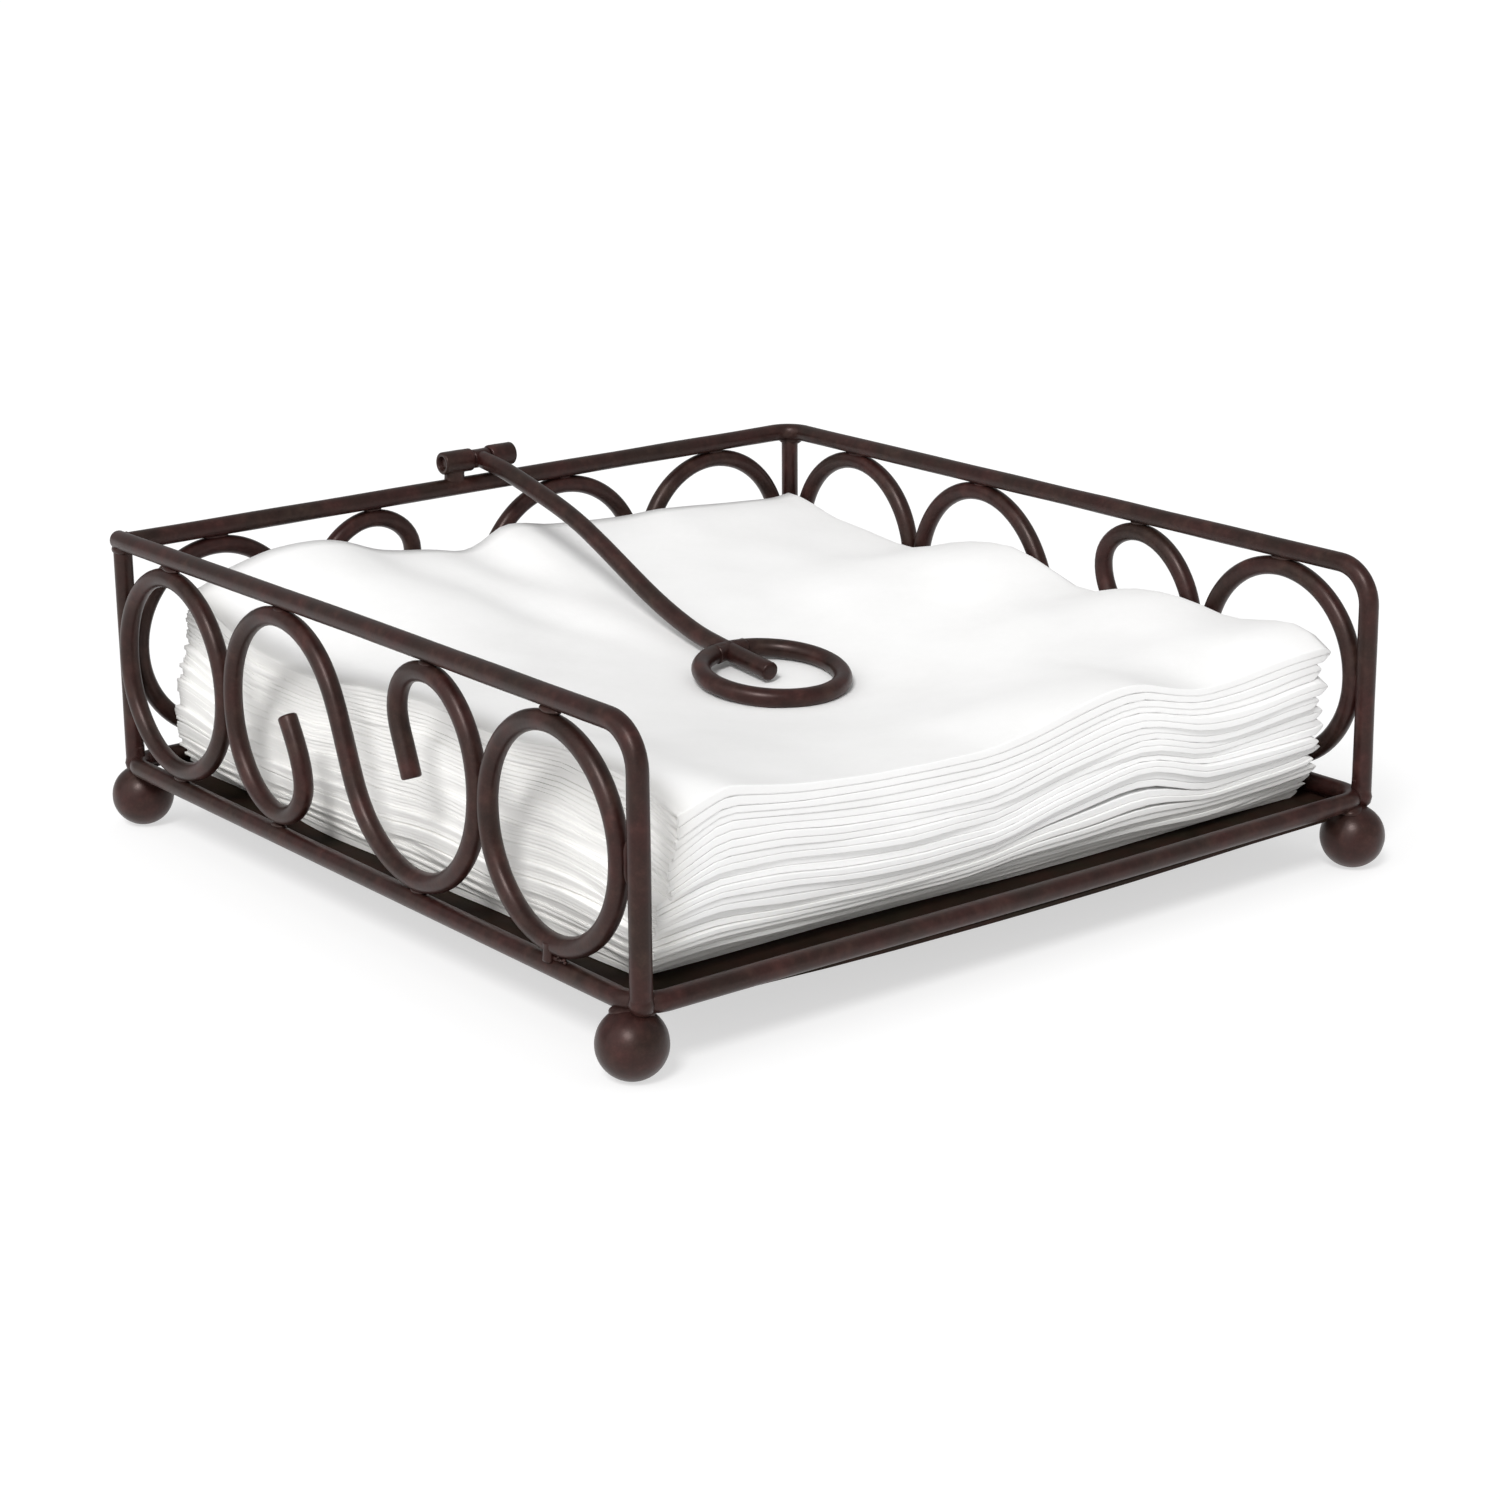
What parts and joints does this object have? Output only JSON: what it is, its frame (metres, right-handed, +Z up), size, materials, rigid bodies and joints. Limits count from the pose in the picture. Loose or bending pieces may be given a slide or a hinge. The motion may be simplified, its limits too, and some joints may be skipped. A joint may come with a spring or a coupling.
{
  "type": "napkin holder",
  "caption": "Square open-front wire tray with scrollwork sides, ball feet and a hinged ring arm that presses on a stack of folded paper napkins.",
  "frame": {"origin": "on the table, under the middle of the tray", "axes": "+Z up, +Y to the hinged back, -Y to the open front, +X to the right seen from the front"},
  "size_m": [0.199, 0.199, 0.0719],
  "materials": {
    "bronze_coat": "satin dark bronze powder coat on steel wire",
    "plate_coat": "satin dark bronze powder coat on sheet steel",
    "napkin_paper": "soft white tissue paper"
  },
  "bodies": {
    "holder": {"base_frame": "bronze_coat", "base_plate": "plate_coat", "foot_front_left": "bronze_coat", "foot_front_right": "bronze_coat", "foot_back_right": "bronze_coat", "foot_back_left": "bronze_coat", "left_hoop": "bronze_coat", "back_right_hoop": "bronze_coat", "post_back_left": "bronze_coat", "post_back_right": "bronze_coat", "left_ring_a": "bronze_coat", "left_ring_b": "bronze_coat", "left_scroll": "bronze_coat", "right_ring_a": "bronze_coat", "right_ring_b": "bronze_coat", "right_scroll": "bronze_coat", "back_ring_a": "bronze_coat", "back_ring_b": "bronze_coat", "back_scroll": "bronze_coat", "hinge_barrel_left": "bronze_coat", "hinge_barrel_right": "bronze_coat", "napkin_stack": "napkin_paper"},
    "arm": {"press_arm": "bronze_coat", "press_ring": "bronze_coat", "hinge_pin": "bronze_coat"}
  },
  "joints": [
    {"name": "arm_hinge", "type": "hinge", "parent": "holder", "child": "arm", "pos_m": [0, 0.0923, 0.0693], "axis": [-1, 0, 0], "range_deg": [0, 220]}
  ]
}
